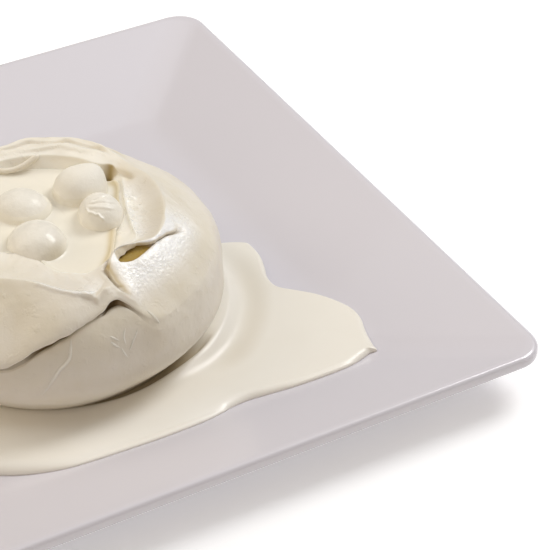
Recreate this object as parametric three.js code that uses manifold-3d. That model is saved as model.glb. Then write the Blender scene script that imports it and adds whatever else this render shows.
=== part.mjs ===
// A torn-open buffalo mozzarella, full of cream and small pearls of cheese, on a square white plate.
// Millimetres, +Z up. The origin is the middle of the plate's underside, X and Y run along its edges.

import * as THREE from 'three';
import { ParametricGeometry } from 'three/addons/geometries/ParametricGeometry.js';
import { NURBSCurve } from 'three/addons/curves/NURBSCurve.js';
import { mergeVertices } from 'three/addons/utils/BufferGeometryUtils.js';
import Module from 'manifold-3d';

// Plate
const plateHalf = 120; // half of the square's side
const plateHeight = 18; // top of the rim
const wellHalf = 78; // half of the flat middle
const wellTop = 4; // upper face of the flat middle
const wellBend = 5; // half width of the soft bend between the flat middle and the slope
const footHalf = 72; // half of the flat underside
const footBend = { out: 4, up: 0.4 }; // soft step from the underside to the slope below
const rimThickness = 4; // height of the plate's outer edge
const rimFlat = 3; // width of the rim's top
const rimDrop = 0.4; // from the rim's top to the end of the slope
const rimRound = 0.8; // rounding of the rim's edges
const cornerRadius = 10;

// Cheese: a slumped ball, opened at the top, with petals of torn skin
const cheeseCentre = new THREE.Vector2(-2, -17);
const cheeseTurn = -29.6; // degrees, all angles below are counted from this direction
const footRadius = 42;
const footRise = [[2.2, 1.6], [9.2, 8.9]]; // how the underside leaves the plate, outward and up from the foot
const bellyRadius = 57.1;
const bellyHeight = 20.8;
const bellyFullness = 2.2; // how far the section's guide stands out at the belly, which the curve cuts short
const domeHeight = 55.3; // where the dome would close if it were whole
const domePower = 2.36; // 2 is an ellipse, more is squarer
const gap = 0.35; // clearance between neighbouring pieces
const facetsRound = 60;
const facetsUp = 36; // along the pouch's section, from under the foot to the hollow's floor
const finePart = { from: -66, to: -2, share: 0.34 }; // the torn stretch takes this share of the facets

// The hollow and the cream in it
const creamLevel = 46;
const hollowFloor = 25;
const hollowWall = { taper: 0.8, depth: 8, round: 5, rise: 3 }; // taper going down, then round into the floor

// Petals of skin: the stretch of rim each takes, in degrees, and how softly it starts and ends
const frontPetal = { from: -118, to: -58, softFrom: 35, softTo: 3 };
const rightPetal = { from: -48, to: 44, softFrom: 5, softTo: 4 };
const backPetal = { from: 48, to: 132, softFrom: 4, softTo: 24 };
const petalThickness = 3.4;
// Rings over a torn edge: height angle from it on whole skin, change of it where torn, share of the lift
const edgeAngles = [
  [-4, 0, 0], [-0.8, 2, -0.18], [0.8, -1.6, 0.7], [2.4, -0.6, 1.1], [5, 0, 1],
];
const frontDrop = { at: -113, width: 28, rise: 41, depth: 28.8 }; // lower edge of the folded front petal
const slit = { start: 54, end: 43, from: -25, to: -4 }; // height angles of the right petal's torn edge

// Where the rim's ridge, its inner lip and the cream's edge run, for bare rim and for each petal
const ridge = { bare: [37.5, 49], front: [37.6, 50.4], right: [35.5, 51.6], back: [36.5, 53] };
const lip = { bare: [36.2, 48], front: [32.5, 48.4], right: [25.6, 51.2], back: [29.6, 51.6] };
const creamEdge = { bare: 35.4, front: 27.5, right: 24.4, back: 28.4 };
const frontRidgeRun = { outward: 6, down: 3.4, from: -100, span: 35 };
const rightFacet = 1.2; // sag of the right petal's top between its ridge and its lip

// Pearls: place across and away, height of the middle, half sizes
const pearls = [
  { x: -2.4, y: -12.6, z: 45.8, half: [9.8, 8.9, 7.6], turn: 8 },
  { x: -8.8, y: 5.9, z: 45.6, half: [9.4, 8.7, 7.4], turn: -14 },
  { x: 9, y: 15.2, z: 47.2, half: [8.4, 8.4, 7.8], turn: 30 },
  { x: 16.4, y: 0, z: 46.9, half: [6.8, 7.4, 6.8], turn: 20, ridges: 5 },
  { x: -22.4, y: -13.6, z: 45.6, half: [7.6, 7.6, 6.6], turn: 0 },
  { x: -26, y: 7, z: 45.4, half: [7.2, 7.4, 6.4], turn: 40 },
];
const ridgeDepth = 0.5;

// Pool of cream on the plate: its outer edge, anticlockwise from the left, and its depth
const poolOutline = [
  [-62, -4], [-70, -24], [-68, -48], [-58, -70], [-34, -82], [-6, -85.5], [14, -85.5], [27, -82.6],
  [36, -82.2], [51, -84.3], [66, -84.4], [75, -82.2], [80.6, -81.7], [82, -74], [84.6, -63], [81.5, -51.5],
  [74.5, -43], [69.5, -35], [70.4, -27.5], [73.5, -16], [72, -6.5], [67, 3], [60, 8],
];
const poolDepth = 3.6;
const poolBead = 5; // width over which the edge rounds down
const beadSection = [[0.24, 0], [0, 0.4], [0.12, 0.72], [0.35, 0.93], [0.8, 1]]; // shares of bead and depth
const poolStart = 8; // the pool thins out over one part in this many of its outline, at both ends
const poolClearance = 0.8; // from the cheese's underside to the pool
const poolOnSlope = 0.7; // share of the depth that it keeps where it climbs the plate's slope
const poolFacets = 66; // along the outline

const radians = THREE.MathUtils.degToRad;
const { lerp, smoothstep } = THREE.MathUtils;

// One closed body: doubled vertices merge and empty triangles go
function closedBody(geometry) {
  geometry.deleteAttribute('normal');
  geometry.deleteAttribute('uv');
  const merged = mergeVertices(geometry, 1e-3);
  const corners = merged.index.array;
  const kept = [];
  for (let i = 0; i < corners.length; i += 3) {
    const [a, b, c] = corners.slice(i, i + 3);
    if (a !== b && b !== c && c !== a) kept.push(a, b, c);
  }
  merged.setIndex(kept);
  merged.computeVertexNormals();
  return merged;
}

// A closed body from a function of two parameters
function closedSurface(point, slices, stacks) {
  return closedBody(new ParametricGeometry((u, v, target) => target.copy(point(u, v)), slices, stacks));
}

// Smooth curve guided by a row of points, which it starts and ends on
function guidedCurve(points) {
  const degree = 3;
  const inner = points.length - degree;
  const knots = [];
  for (let i = 0; i < points.length + degree + 1; i++) {
    knots.push(THREE.MathUtils.clamp(i - degree, 0, inner) / inner);
  }
  return new NURBSCurve(degree, knots, points.map(([r, z]) => new THREE.Vector4(r, z, 0, 1)));
}

// 1 inside a stretch of angles, falling to 0 at its ends
function within(angle, { from, to, softFrom, softTo }) {
  const turned = angle > 180 ? angle - 360 : angle;
  return smoothstep(turned, from - softFrom, from) * (1 - smoothstep(turned, to, to + softTo));
}

// A rounded square, half wide, at a share u of the way round
function roundedSquare(u, half, radius) {
  const r = Math.min(radius, half * 0.98);
  const side = Math.floor(u * 4) % 4;
  const along = u * 4 - Math.floor(u * 4);
  const cornerShare = 0.4; // share of each quarter spent on its corner
  const flat = half - r;
  const quarter = new THREE.Vector2();
  if (along < cornerShare) {
    const turn = (along / cornerShare) * Math.PI / 2 - Math.PI / 2;
    quarter.set(flat + r * Math.cos(turn), -flat + r * Math.sin(turn));
  } else {
    quarter.set(half, lerp(-flat, flat, (along - cornerShare) / (1 - cornerShare)));
  }
  return quarter.rotateAround(new THREE.Vector2(), side * Math.PI / 2);
}

// Half width of the rounded square that passes through a point
function squareThrough(x, y) {
  const long = Math.max(Math.abs(x), Math.abs(y));
  const short = Math.min(Math.abs(x), Math.abs(y));
  if (long - short >= cornerRadius) return long;
  const middle = (long + short - Math.sqrt(2 * cornerRadius ** 2 - (long - short) ** 2)) / 2;
  return middle + cornerRadius;
}

// Height of the plate's upper face at a half width: flat, then a parabola over the bend, then the slope
function plateTop(half) {
  const slope = (plateHeight - rimDrop - wellTop) / (plateHalf - rimFlat - wellHalf);
  const rise = half - wellHalf;
  if (rise < -wellBend) return wellTop;
  if (rise < wellBend) return wellTop + slope * (rise + wellBend) ** 2 / (4 * wellBend);
  return wellTop + slope * rise;
}

function plateGeometry() {
  const edgeLow = plateHeight - rimThickness;
  const profile = [
    [0, 0], [footHalf, 0], [footHalf + footBend.out, footBend.up],
    [plateHalf - rimThickness, edgeLow - rimRound], [plateHalf - rimRound, edgeLow],
    [plateHalf, edgeLow + rimRound], [plateHalf, plateHeight - rimRound], [plateHalf - rimRound, plateHeight],
    [plateHalf - rimFlat + rimRound, plateHeight],
  ];
  const bendHalves = [1, 0.4, -0.4, -1].map((share) => wellHalf + share * wellBend);
  for (const half of [plateHalf - rimFlat - rimRound, ...bendHalves]) profile.push([half, plateTop(half)]);
  profile.push([0, wellTop]);
  const facetsPerSide = 10;
  return closedSurface((u, v) => {
    const [half, z] = profile[Math.round(v * (profile.length - 1))];
    const at = roundedSquare(u % 1, half, cornerRadius);
    return new THREE.Vector3(at.x, at.y, z);
  }, 4 * facetsPerSide, profile.length - 1);
}

// A point of the whole dome at a height angle, with its outward direction
function dome(heightAngle, lift = 0) {
  const c = Math.cos(radians(heightAngle));
  const s = Math.sin(radians(heightAngle));
  const rise = domeHeight - bellyHeight;
  const r = bellyRadius * c ** (2 / domePower);
  const h = rise * s ** (2 / domePower);
  const nr = (r / bellyRadius) ** (domePower - 1) / bellyRadius;
  const nz = (h / rise) ** (domePower - 1) / rise;
  const length = Math.hypot(nr, nz);
  return [r + lift * nr / length, bellyHeight + h + lift * nz / length];
}

// How much of each petal there is at an angle round the cheese
function petalShares(angle) {
  const front = within(angle, frontPetal);
  const right = within(angle, rightPetal);
  const back = within(angle, backPetal);
  return { front, right, back, bare: 1 - front - right - back };
}

function blend(table, shares) {
  const total = (index) => Object.keys(shares).reduce((sum, key) => sum + table[key][index] * shares[key], 0);
  return [total(0), total(1)];
}

function creamRadius(shares) {
  return Object.keys(shares).reduce((sum, key) => sum + creamEdge[key] * shares[key], 0);
}

// The hollow's section from its wall down to the middle of its floor
function hollowSection(wall, floor) {
  return [
    [wall - hollowWall.taper, creamLevel - hollowWall.depth],
    [wall - hollowWall.round, floor + hollowWall.rise],
    [wall * 0.5, floor], [0, floor],
  ];
}

// The pouch's section at an angle: foot, belly, the step up to a petal's edge, ridge, lip and hollow
function pouchSection(angle) {
  const turned = angle > 180 ? angle - 360 : angle;
  const shares = petalShares(angle);
  const fromDrop = (turned - frontDrop.at) / frontDrop.width;
  const frontEdge = frontDrop.rise - frontDrop.depth * Math.exp(-(fromDrop ** 2));
  const slitEdge = lerp(slit.start, slit.end, smoothstep(turned, slit.from, slit.to));
  const torn = shares.right * (1 - smoothstep(turned, slit.from, slit.to));
  const step = Math.min(1, shares.front + torn);
  const edge = turned < (frontPetal.to + rightPetal.from) / 2 ? frontEdge : slitEdge;
  const lift = petalThickness * step;

  const run = Math.max(0, (turned - frontRidgeRun.from) / frontRidgeRun.span) ** 2 * shares.front;
  const [ridgeRadius, ridgeHeight] = blend(ridge, shares);
  const ridgeAt = [ridgeRadius + frontRidgeRun.outward * run, ridgeHeight - frontRidgeRun.down * run];
  const [lipRadius, lipHeight] = blend(lip, shares);
  const lipAt = [lipRadius + frontRidgeRun.outward * run / 2, lipHeight - frontRidgeRun.down * run / 2];
  const between = (from, to, share) => from.map((value, i) => lerp(value, to[i], share));
  const facet = between(ridgeAt, lipAt, 0.7);
  facet[1] -= rightFacet * shares.right;

  const foot = wellTop + gap;
  const edgeRings = edgeAngles.map(([whole, change, share]) => (
    dome(edge + whole + change * step, share * lift)));
  const wall = creamRadius(shares);
  return [
    [0, foot], [footRadius * 0.6, foot], [footRadius, foot],
    ...footRise.map(([out, up]) => [footRadius + out, foot + up]),
    [bellyRadius + bellyFullness, bellyHeight], dome(edge / 2), ...edgeRings,
    between(edgeRings.at(-1), ridgeAt, 0.6), ridgeAt, facet, lipAt,
    [wall + gap, creamLevel + gap], ...hollowSection(wall, hollowFloor),
  ];
}

// Angles round the cheese, closer together where the skin is torn
function angleRound(u) {
  const { from, to, share } = finePart;
  if (u < share) return lerp(from, to, u / share);
  return lerp(to, from + 360, (u - share) / (1 - share));
}

function turnedPoint(radius, height, angle) {
  return new THREE.Vector3(radius * Math.cos(radians(angle)), radius * Math.sin(radians(angle)), height);
}

function pouchGeometry() {
  const curves = new Map();
  return closedSurface((u, v) => {
    const share = u % 1;
    if (!curves.has(share)) curves.set(share, guidedCurve(pouchSection(angleRound(share))));
    const at = curves.get(share).getPoint(v);
    return turnedPoint(at.x, at.y, angleRound(share));
  }, facetsRound, facetsUp);
}

// An ellipsoid, furrowed on top where it has ridges, and larger by extra for its socket
function pearlGeometry({ x, y, z, half, turn, ridges = 0 }, extra = 0) {
  const ball = new THREE.SphereGeometry(1, 16, 10);
  const at = ball.attributes.position;
  for (let i = 0; i < at.count; i++) {
    const p = new THREE.Vector3().fromBufferAttribute(at, i);
    const furrow = ridgeDepth * Math.cos(ridges * 2 * p.x) * (ridges ? Math.max(0, p.z) : 0);
    at.setXYZ(i, p.x * (half[0] + extra), p.y * (half[1] + extra), p.z * (half[2] + extra + furrow));
  }
  ball.rotateZ(radians(turn));
  ball.translate(x, y, z);
  return closedBody(ball);
}

const wasm = await Module();
wasm.setup();

function toSolid(geometry) {
  return new wasm.Manifold(new wasm.Mesh({
    numProp: 3,
    vertProperties: new Float32Array(geometry.attributes.position.array),
    triVerts: new Uint32Array(geometry.index.array),
  }));
}

function toGeometry(solid) {
  const mesh = solid.getMesh();
  const geometry = new THREE.BufferGeometry();
  geometry.setAttribute('position', new THREE.BufferAttribute(mesh.vertProperties, 3));
  geometry.setIndex(new THREE.BufferAttribute(mesh.triVerts, 1));
  geometry.computeVertexNormals();
  return geometry;
}

// Cream that fills the hollow up to its level, with a socket round each pearl
function fillingGeometry() {
  const whole = closedSurface((u, v) => {
    const angle = angleRound(u % 1);
    const wall = creamRadius(petalShares(angle)) - 2 * gap;
    const section = guidedCurve([
      ...hollowSection(wall, hollowFloor + 2 * gap).reverse(),
      [wall, creamLevel - 1], [wall - 1, creamLevel], [wall * 0.6, creamLevel], [0, creamLevel],
    ]);
    const at = section.getPoint(v);
    return turnedPoint(at.x, at.y, angle);
  }, facetsRound, 10);
  return toGeometry(pearls.reduce((cream, pearl) => cream.subtract(toSolid(pearlGeometry(pearl, gap))),
    toSolid(whole)));
}

// Radius of the pool's inner edge at a height: the cheese's underside and a clearance
function undersideRadius(z) {
  const [[lowOut, lowUp], [highOut, highUp]] = footRise;
  const share = (z - wellTop - lowUp) / (highUp - lowUp);
  return footRadius + lerp(lowOut, highOut, share) + poolClearance;
}

// The pool's section at a share u of its outline: out along the plate, up round the bead, back to the cheese
function poolGeometry() {
  const outline = new THREE.SplineCurve(poolOutline.map(([x, y]) => new THREE.Vector2(x, y)));
  return closedSurface((u, v) => {
    const outer = outline.getPoint(u);
    const direction = outer.clone().sub(cheeseCentre);
    const reach = direction.length();
    direction.normalize();
    const taper = Math.sqrt(Math.min(1, poolStart * u, poolStart * (1 - u)));
    const topLevel = wellTop + gap + poolDepth * taper;
    const inner = undersideRadius(topLevel);
    const far = lerp(inner + gap, reach, taper);
    const loop = [
      [undersideRadius(wellTop + gap), 0], [lerp(inner, far, 0.5), 0],
      ...beadSection.map(([inward, level]) => [far - inward * poolBead, level]),
      [lerp(inner, far, 0.4), 1], [inner, 1],
    ];
    const [r, level] = loop[Math.round(v * loop.length) % loop.length];
    const at = cheeseCentre.clone().addScaledVector(direction, taper > 0 ? r : inner);
    const base = plateTop(squareThrough(at.x, at.y)) + gap;
    const height = lerp(base, Math.max(topLevel, base + poolOnSlope * poolDepth * taper), level * taper);
    return new THREE.Vector3(at.x, at.y, height);
  }, poolFacets, beadSection.length + 4);
}

function piece(name, geometry, colour, roughness) {
  const material = new THREE.MeshStandardMaterial({ color: colour, roughness, metalness: 0 });
  const mesh = new THREE.Mesh(geometry, material);
  mesh.name = name;
  return mesh;
}

const cheese = new THREE.Group();
cheese.position.set(cheeseCentre.x, cheeseCentre.y, 0);
cheese.rotation.z = radians(cheeseTurn);
cheese.add(piece('pouch', pouchGeometry(), 0xe1dac8, 0.4));
cheese.add(piece('cream_filling', fillingGeometry(), 0xece5d6, 0.25));
pearls.forEach((pearl, i) => cheese.add(piece(`pearl_${i + 1}`, pearlGeometry(pearl), 0xeeeae0, 0.3)));

const dish = new THREE.Group();
dish.add(piece('plate', plateGeometry(), 0xd6d0d4, 0.2));
dish.add(piece('cream_pool', poolGeometry(), 0xece5d6, 0.25));
dish.add(cheese);

export default dish;
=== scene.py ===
# Torn-open buffalo mozzarella with cream and cheese pearls on a square porcelain plate.
# Shapes are worked out in millimetres in the CAD frame and put into the meshes in metres.
import bpy
import numpy as np
from mathutils import Matrix


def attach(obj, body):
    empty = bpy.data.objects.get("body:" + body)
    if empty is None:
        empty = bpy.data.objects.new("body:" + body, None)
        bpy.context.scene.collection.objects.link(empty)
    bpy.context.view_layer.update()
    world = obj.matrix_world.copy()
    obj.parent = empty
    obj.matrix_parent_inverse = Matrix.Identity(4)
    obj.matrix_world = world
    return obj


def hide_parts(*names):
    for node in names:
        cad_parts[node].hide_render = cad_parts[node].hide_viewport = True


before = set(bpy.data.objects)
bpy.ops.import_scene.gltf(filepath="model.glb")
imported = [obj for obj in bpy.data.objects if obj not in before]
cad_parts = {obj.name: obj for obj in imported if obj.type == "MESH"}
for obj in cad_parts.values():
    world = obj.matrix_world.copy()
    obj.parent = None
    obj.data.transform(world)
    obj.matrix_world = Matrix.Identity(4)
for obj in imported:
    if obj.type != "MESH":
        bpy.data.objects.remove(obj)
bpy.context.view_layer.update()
mm = 0.001
print("frame loaded:", sorted(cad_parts))


# Eased step: 0 before a, 1 after b, a cubic in between
def smooth(x, a, b):
    t = np.clip((x - a) / (b - a), 0, 1)
    return t * t * (3 - 2 * t)


# Bell: 1 at the middle, falling as a Gaussian of the given width
def bell(x, middle, width):
    return np.exp(-((x - middle) / width) ** 2)


# Eased window: rises from a to b and falls from c to d
def window(x, a, b, c, d):
    return smooth(x, a, b) * (1 - smooth(x, c, d))


# Rolling surface: a sum of plane waves of about one length in seeded directions, about -1 to 1
def rolling(points, length, seed, count=9):
    rng = np.random.default_rng(seed)
    heading = rng.normal(size=(count, 3))
    heading /= np.linalg.norm(heading, axis=1)[:, None]
    turns = 2 * np.pi / (length * rng.uniform(0.7, 1.5, count))
    phase = rng.uniform(0, 2 * np.pi, count)
    return np.sin(points @ (heading * turns[:, None]).T + phase).sum(-1) / np.sqrt(2 * count)


# Sum of rolling surfaces, each with a height, a length and a seed
def swells(points, table):
    return sum(size * rolling(points, length, seed) for size, length, seed in table)


# Clamped cubic spline weights: each row gives the share of every guide point at one place t
def splineWeights(count, t):
    knots = np.clip(np.arange(count + 4) - 3, 0, count - 3) / (count - 3)
    at = np.minimum(t, 1 - 1e-9)[:, None]
    weights = ((at >= knots[:-1]) & (at < knots[1:])).astype(float)
    for degree in (1, 2, 3):
        low = knots[degree:-1] - knots[:-degree - 1]
        high = knots[degree + 1:] - knots[1:-degree]
        up = (at - knots[:-degree - 1]) / np.where(low > 0, low, 1) * (low > 0)
        down = (knots[degree + 1:] - at) / np.where(high > 0, high, 1) * (high > 0)
        weights = up * weights[:, :-1] + down * weights[:, 1:]
    return weights


# Places from 0 to 1 packed in proportion to a density given on an even scale
def packed(count, density, closed):
    total = np.concatenate([[0], np.cumsum(density)])
    share = np.linspace(0, 1, count, endpoint=not closed)
    return np.interp(share, total / total[-1], np.linspace(0, 1, len(total)))


# Catmull-Rom curve through points, at places from 0 to 1
def throughPoints(points, t):
    p = np.asarray(points, float)
    p = np.vstack([2 * p[0] - p[1], p, 2 * p[-1] - p[-2]])
    at = np.clip(t, 0, 1 - 1e-9) * (len(p) - 3)
    i = at.astype(int)
    f = (at - i)[:, None]
    a, b, c, d = p[i], p[i + 1], p[i + 2], p[i + 3]
    return b + 0.5 * f * (c - a + f * (2 * a - 5 * b + 4 * c - d + f * (3 * (b - c) + d - a)))


# Points at a radius, an angle in degrees and a height
def polar(radius, degrees, z):
    turn = np.radians(degrees)
    return np.stack([radius * np.cos(turn), radius * np.sin(turn), z], -1)


# Points turned about the upright axis and then shifted
def turned(points, degrees, shift):
    c, s = np.cos(np.radians(degrees)), np.sin(np.radians(degrees))
    x, y, z = np.moveaxis(points, -1, 0)
    return np.stack([shift[0] + c * x - s * y, shift[1] + s * x + c * y, shift[2] + z], -1)


# Outward unit normals of a grid: cross product of its two difference directions, columns going round
def gridNormals(grid):
    across = np.roll(grid, -1, 1) - np.roll(grid, 1, 1)
    along = np.gradient(grid, axis=0)
    normal = np.cross(across, along)
    return normal / np.maximum(np.linalg.norm(normal, axis=2), 1e-9)[..., None]


# Mesh from a grid whose columns go round and whose first and last rows close to a point each
def closedMesh(name, grid, marks=None):
    rows, columns = grid.shape[:2]
    rings = grid[1:-1].reshape(-1, 3)
    verts = np.vstack([grid[0].mean(0), rings, grid[-1].mean(0)]) * mm
    ring = 1 + np.arange((rows - 2) * columns).reshape(rows - 2, columns)
    nextOne = np.roll(ring, -1, 1)
    quads = np.stack([ring[:-1], nextOne[:-1], nextOne[1:], ring[1:]], -1).reshape(-1, 4)
    first = np.stack([np.zeros(columns, int), nextOne[0], ring[0]], -1)
    last = np.stack([np.full(columns, len(verts) - 1), ring[-1], nextOne[-1]], -1)
    a, b, c, d = (verts[quads[:, i]] for i in range(4))
    volume = (np.cross(a, b) * c).sum() + (np.cross(a, c) * d).sum()
    flip = -1 if volume < 0 else 1
    tris = np.vstack([first, last])[:, ::flip]
    loops = np.concatenate([quads[:, ::flip].ravel(), tris.ravel()])
    sizes = np.concatenate([np.full(len(quads), 4), np.full(len(tris), 3)])
    mesh = bpy.data.meshes.new(name)
    mesh.vertices.add(len(verts))
    mesh.vertices.foreach_set("co", verts.ravel())
    mesh.loops.add(len(loops))
    mesh.loops.foreach_set("vertex_index", loops.astype(np.int32))
    mesh.polygons.add(len(sizes))
    mesh.polygons.foreach_set("loop_start", (np.cumsum(sizes) - sizes).astype(np.int32))
    mesh.polygons.foreach_set("use_smooth", np.ones(len(sizes), bool))
    mesh.update(calc_edges=True)
    for mark, values in (marks or {}).items():
        inOrder = np.concatenate([[values[0].mean()], values[1:-1].ravel(), [values[-1].mean()]])
        attribute = mesh.attributes.new(mark, "FLOAT", "POINT")
        attribute.data.foreach_set("value", inOrder.astype(np.float32))
    mesh.validate()
    return mesh


# New object for a mesh, camera or lamp
def addObject(name, data):
    thing = bpy.data.objects.new(name, data)
    bpy.context.scene.collection.objects.link(thing)
    return thing


# Object for a finished mesh: rides on the one body and stands for its CAD node
def place(name, mesh, node, material):
    piece = addObject(name, mesh)
    mesh.materials.append(material)
    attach(piece, "root")
    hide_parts(node)
    print("piece", name, len(mesh.polygons), "faces")


# A shader socket: operators add Math nodes, make adds any other node
class Wire:
    def __init__(self, tree, socket):
        self.tree = tree
        self.socket = socket

    def make(self, kind, settings=None, sockets=None, out=0):
        node = self.tree.nodes.new(kind)
        for key, value in (settings or {}).items():
            setattr(node, key, value)
        for key, value in (sockets or {}).items():
            if isinstance(value, Wire):
                self.tree.links.new(value.socket, node.inputs[key])
            else:
                node.inputs[key].default_value = value
        return Wire(self.tree, node.outputs[out])

    def math(self, operation, first, second):
        return self.make("ShaderNodeMath", {"operation": operation}, {0: first, 1: second})

    def __add__(self, other):
        return self.math("ADD", self, other)

    def __radd__(self, other):
        return self.math("ADD", other, self)

    def __sub__(self, other):
        return self.math("SUBTRACT", self, other)

    def __rsub__(self, other):
        return self.math("SUBTRACT", other, self)

    def __mul__(self, other):
        return self.math("MULTIPLY", self, other)

    def __rmul__(self, other):
        return self.math("MULTIPLY", other, self)

    def mark(self, name):  # a value kept at the vertices
        return self.make("ShaderNodeAttribute", {"attribute_name": name}, out=2)

    def noise(self, scale, detail=3.0, rough=0.5, distort=0.0):
        return self.make("ShaderNodeTexNoise", None, {
            "Vector": self, "Scale": scale, "Detail": detail, "Roughness": rough, "Distortion": distort})

    def stretched(self, x, y, z):
        return self.make("ShaderNodeMapping", None, {"Vector": self, "Scale": (x, y, z)})

    def ranged(self, low, high, toLow=0.0, toHigh=1.0):
        return self.make("ShaderNodeMapRange", {"clamp": True}, {
            "Value": self, "From Min": low, "From Max": high, "To Min": toLow, "To Max": toHigh})

    def mixColour(self, first, second):  # this value picks between two colours
        return self.make("ShaderNodeMix", {"data_type": "RGBA"}, {0: self, 6: first, 7: second}, out=2)

    def bump(self, strength, distance):
        return self.make("ShaderNodeBump", None, {"Height": self, "Strength": strength, "Distance": distance})


# New material: returns it, its shader node and the object coordinates
def startMaterial(name, constants):
    material = bpy.data.materials.new(name)
    material.use_nodes = True
    tree = material.node_tree
    shader = tree.nodes["Principled BSDF"]
    for key, value in constants.items():
        shader.inputs[key].default_value = value
    coords = tree.nodes.new("ShaderNodeTexCoord")
    return material, shader, Wire(tree, coords.outputs["Object"])


# Links from wires to the shader's sockets
def plug(shader, sockets):
    for key, wire in sockets.items():
        wire.tree.links.new(wire.socket, shader.inputs[key])


# dark is the colour of painted shade and shadow on the skin
skinLook = {
    # deep is the brownish-yellow of the torn inside, also used for painted shade in the hole, on the torn
    # face and deep in the gap
    "pale": (0.80, 0.745, 0.645, 1), "warm": (0.77, 0.705, 0.57, 1), "deep": (0.42, 0.29, 0.08, 1),
    # the near-white colour on the next line is a painted highlight that glossy places are whitened towards
    "satinAndHighlight": (0.98, 0.965, 0.935, 1), "smear": (0.95, 0.91, 0.82, 1), "dark": (0.20, 0.135, 0.06, 1),
    "subsurface": 0.35, "reach": 0.0012, "gloss": 0.21, "bump": 0.22, "bumpHeight": 0.0012}


# Moist ivory skin: warm patches, amber in the tears, satiny gloss broken by fine pits and fibres; one mark
# paints shade and shadow in dark brown, another whitens glossy places as a painted highlight
def cheeseSkin():
    look = skinLook
    material, shader, at = startMaterial("cheeseSkin", {
        "Subsurface Weight": look["subsurface"], "Subsurface Radius": (1.0, 0.95, 0.85),
        "Subsurface Scale": look["reach"], "IOR": 1.42, "Coat Roughness": look["gloss"]})
    torn, shade, wet, creamy, satinAndHighlight = (at.mark(name) for name in ("torn", "shade", "wet", "creamy", "satinAndHighlight"))
    patches = at.noise(45, 4, 0.55).ranged(0.38, 0.66)
    pits = at.noise(900, 2, 0.6)
    glitter = at.noise(800, 2, 0.6)
    fibres = at.stretched(1, 1, 0.22).noise(420, 4, 0.6, 0.6)
    grain = at.noise(160, 4, 0.6)
    flecks = at.noise(380, 2, 0.5).ranged(0.6, 0.74)
    # painted highlight: glossy places are whitened towards a near-white colour
    rind = (satinAndHighlight * 0.9).mixColour(patches.mixColour(look["pale"], look["warm"]), look["satinAndHighlight"])
    opened = torn.mixColour(creamy.mixColour(rind, look["smear"]), look["deep"])
    rough = (pits * 0.25 + fibres * 0.3 + grain * 0.3) * (1 - wet * 0.75)
    sparkle = (satinAndHighlight * (pits + glitter * 3.0) + flecks * 0.5) * (1 - torn)
    plug(shader, {
        "Base Color": shade.mixColour(opened, look["dark"]),
        "Roughness": grain.ranged(0.35, 0.65, 0.36, 0.48) - wet * 0.08 - satinAndHighlight * 0.19,
        "Coat Weight": (wet * 0.2 + satinAndHighlight * 0.15 + 0.22) * (1 - torn * 0.8),
        "Normal": (rough + sparkle).bump(look["bump"], look["bumpHeight"])})
    return material


# the whey colour is also painted shade: in the cream's pit, and on the pool as painted shadow at the cheese,
# in the hollow beyond the lip and out to the right
creamLook = {"pale": (0.85, 0.81, 0.71, 1), "warm": (0.84, 0.79, 0.67, 1), "wheyAndShade": (0.62, 0.49, 0.25, 1)}
poolLook = {"pale": (0.91, 0.88, 0.81, 1), "warm": (0.90, 0.865, 0.785, 1), "wheyAndShade": (0.48, 0.37, 0.19, 1)}


# Thick cream: even and glossy, with a breath of unevenness; a mark mixes in the whey colour, in places as
# painted shade and shadow
def cream(name, look):
    material, shader, at = startMaterial(name, {"IOR": 1.4, "Coat Roughness": 0.22})
    drift = at.noise(38, 3, 0.5)
    milky = drift.ranged(0.35, 0.7).mixColour(look["pale"], look["warm"])
    plug(shader, {
        "Base Color": (at.mark("wheyAndShade") * 0.75).mixColour(milky, look["wheyAndShade"]),
        "Roughness": at.noise(90, 2, 0.5).ranged(0.3, 0.7, 0.32, 0.44),
        "Coat Weight": drift.ranged(0.3, 0.7, 0.15, 0.3),
        "Normal": at.noise(140, 2, 0.5).bump(0.05, 0.001)})
    return material


# amber is the colour of painted shade on the first pearl
pearlLook = {"pale": (0.89, 0.85, 0.755, 1), "cool": (0.87, 0.83, 0.74, 1), "amber": (0.52, 0.44, 0.29, 1),
             "dull": {"pearl_3": 0.85, "pearl_4": 0.3}}


# Wet pearl of cheese: whiter than the skin, glossy, with faint clouding and painted amber shade on one side
def cheesePearl():
    material, shader, at = startMaterial("cheesePearl", {"IOR": 1.42, "Coat Roughness": 0.16})
    dull = at.mark("dull")
    cloud = at.noise(120, 4, 0.6)
    white = cloud.ranged(0.35, 0.68).mixColour(pearlLook["pale"], pearlLook["cool"])
    plug(shader, {
        "Base Color": at.mark("amber").mixColour(white, pearlLook["amber"]),
        "Roughness": cloud.ranged(0.3, 0.7, 0.34, 0.48) + dull * 0.2,
        "Coat Weight": at.noise(300, 2).ranged(0.38, 0.6, 0.1, 0.7) * (1 - dull),
        "Normal": (at.noise(420, 2, 0.6) * 0.7 + cloud).bump(0.4, 0.0008)})
    return material


glazeLook = {"body": (0.683, 0.658, 0.702, 1), "roughness": 0.27, "coat": 0.35}


# White porcelain under a clear even glaze
def porcelain():
    look = glazeLook
    return startMaterial("porcelain", {
        "Base Color": look["body"], "Roughness": look["roughness"], "Coat Weight": look["coat"],
        "IOR": 1.5, "Coat Roughness": 0.06})[0]


plateSize = {
    "half": 120, "height": 18, "wellHalf": 78, "wellTop": 4, "rim": 4, "corner": 10, "bend": 5,
    "edgeWidth": 3, "edgeDrop": 0.4, "footHalf": 72, "footRound": (5, 1.2),
    "underSlope": ((82, 2.4), (116, 12.8)), "lowRound": (1.4, 1.0), "topRound": 1.5}


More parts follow.
